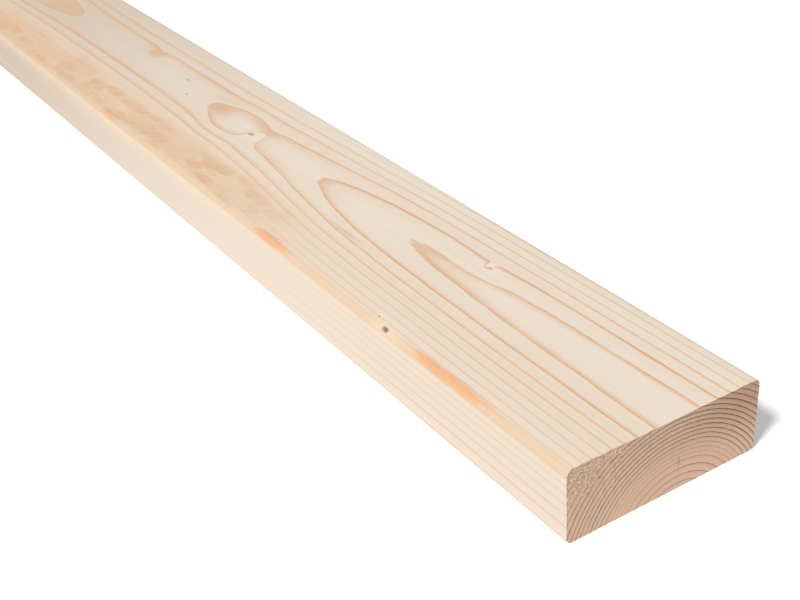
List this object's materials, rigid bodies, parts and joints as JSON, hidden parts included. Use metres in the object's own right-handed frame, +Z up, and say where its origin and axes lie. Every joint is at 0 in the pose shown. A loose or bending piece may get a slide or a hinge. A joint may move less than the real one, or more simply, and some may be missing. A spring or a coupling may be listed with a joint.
{
  "type": "timber plank",
  "caption": "Straight planed softwood plank of rectangular section, with rounded long edges and square-sawn ends.",
  "frame": {"origin": "centre of the underside, midway between the two sawn ends", "axes": "+X along the length and the grain, towards the sawn end nearest the viewer; +Y across the width; +Z up through the thickness"},
  "size_m": [2.4, 0.095, 0.034],
  "materials": {
    "timber": "planed faces, sawn ends, untreated"
  },
  "bodies": {
    "root": {"plank": "timber"}
  },
  "joints": []
}
